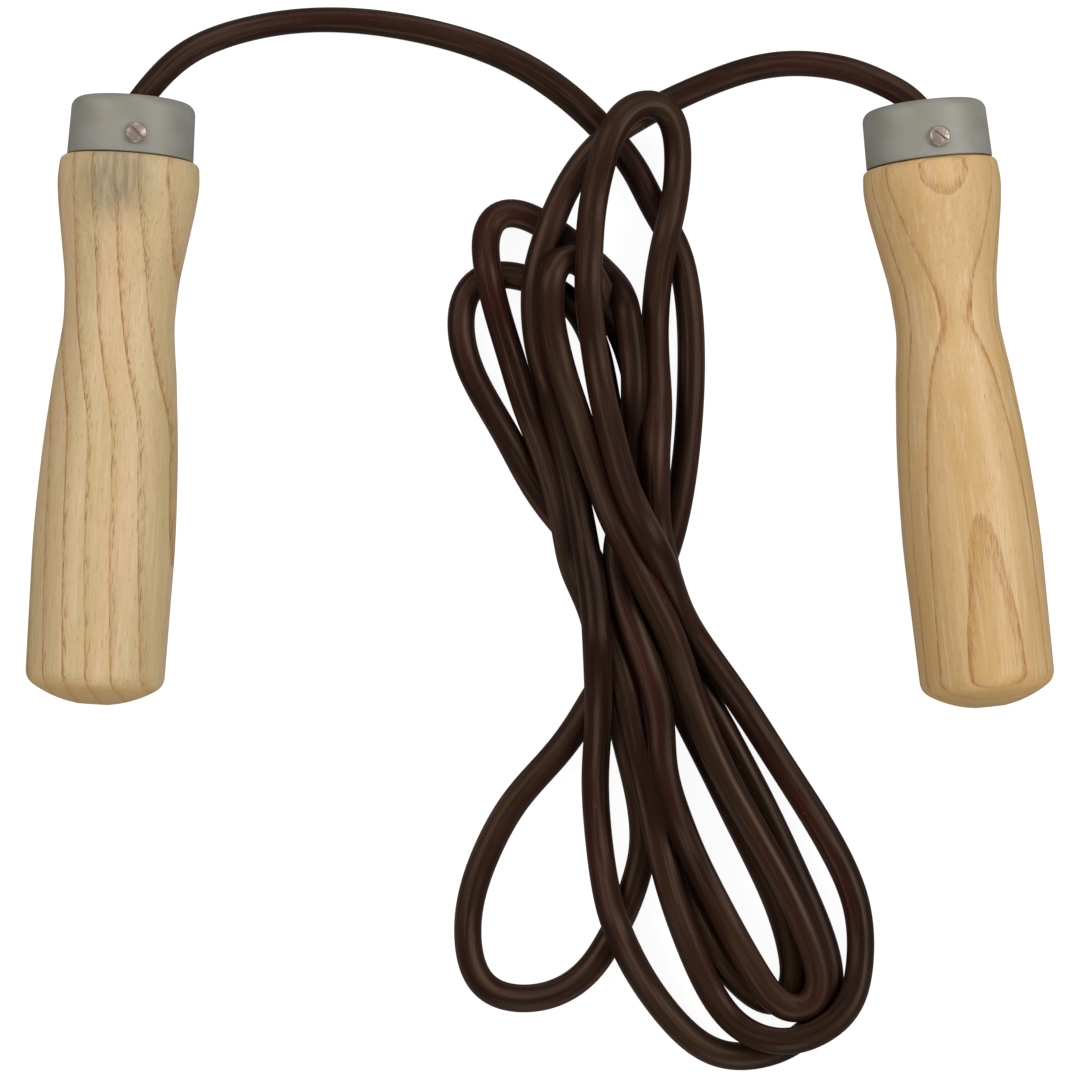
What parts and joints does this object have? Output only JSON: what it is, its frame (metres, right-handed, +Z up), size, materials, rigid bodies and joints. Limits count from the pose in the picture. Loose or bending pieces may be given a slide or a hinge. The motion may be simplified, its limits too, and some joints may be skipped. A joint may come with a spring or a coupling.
{
  "type": "jump rope",
  "caption": "Leather jump rope with turned wooden handles in metal caps that spin on ball bearings, its rope folded in a loose figure-eight bundle.",
  "frame": {"origin": "on the floor, at the middle of the two handles' bounding box", "axes": "+X from the left handle to the right one, +Y along the handles towards their caps, +Z up"},
  "size_m": [0.257, 0.2693, 0.0354],
  "materials": {
    "leather": "waxed dark brown leather, satin",
    "ash": "oiled ash with open pores, satin",
    "cap_metal": "dull satin turned aluminium",
    "screw_steel": "nickel plated, slightly warm",
    "bearing_steel": "ground bearing steel",
    "crimp_steel": "zinc plated"
  },
  "bodies": {
    "rope_body": {"rope": "leather", "bearing_inner_ring_left": "bearing_steel", "stop_washer_left": "crimp_steel", "rope_crimp_left": "crimp_steel", "bearing_inner_ring_right": "bearing_steel", "stop_washer_right": "crimp_steel", "rope_crimp_right": "crimp_steel"},
    "handle_left": {"grip_left": "ash", "cap_left": "cap_metal", "screw_front_left": "screw_steel", "screw_back_left": "screw_steel", "bearing_outer_ring_left": "bearing_steel", "bearing_shield_left": "bearing_steel"},
    "ball_set_left": {"bearing_cage_left": "bearing_steel", "bearing_ball_1_left": "bearing_steel", "bearing_ball_2_left": "bearing_steel", "bearing_ball_3_left": "bearing_steel", "bearing_ball_4_left": "bearing_steel", "bearing_ball_5_left": "bearing_steel", "bearing_ball_6_left": "bearing_steel", "bearing_ball_7_left": "bearing_steel"},
    "handle_right": {"grip_right": "ash", "cap_right": "cap_metal", "screw_front_right": "screw_steel", "screw_back_right": "screw_steel", "bearing_outer_ring_right": "bearing_steel", "bearing_shield_right": "bearing_steel"},
    "ball_set_right": {"bearing_cage_right": "bearing_steel", "bearing_ball_1_right": "bearing_steel", "bearing_ball_2_right": "bearing_steel", "bearing_ball_3_right": "bearing_steel", "bearing_ball_4_right": "bearing_steel", "bearing_ball_5_right": "bearing_steel", "bearing_ball_6_right": "bearing_steel", "bearing_ball_7_right": "bearing_steel"}
  },
  "joints": [
    {"name": "handle_spin_left", "type": "hinge", "parent": "rope_body", "child": "handle_left", "pos_m": [-0.10214, 0.07051, 0.0177], "axis": [0.0645, 0.9979, 0], "continuous": true},
    {"name": "ball_set_spin_left", "type": "hinge", "parent": "rope_body", "child": "ball_set_left", "pos_m": [-0.10214, 0.07051, 0.0177], "axis": [0.0645, 0.9979, 0], "continuous": true},
    {"name": "handle_spin_right", "type": "hinge", "parent": "rope_body", "child": "handle_right", "pos_m": [0.09666, 0.06933, 0.0172], "axis": [-0.108, 0.9942, 0], "continuous": true},
    {"name": "ball_set_spin_right", "type": "hinge", "parent": "rope_body", "child": "ball_set_right", "pos_m": [0.09666, 0.06933, 0.0172], "axis": [-0.108, 0.9942, 0], "continuous": true}
  ],
  "couplings": [
    {"joint": "ball_set_spin_left", "follows": "handle_spin_left", "ratio": 0.632},
    {"joint": "ball_set_spin_right", "follows": "handle_spin_right", "ratio": 0.632}
  ]
}
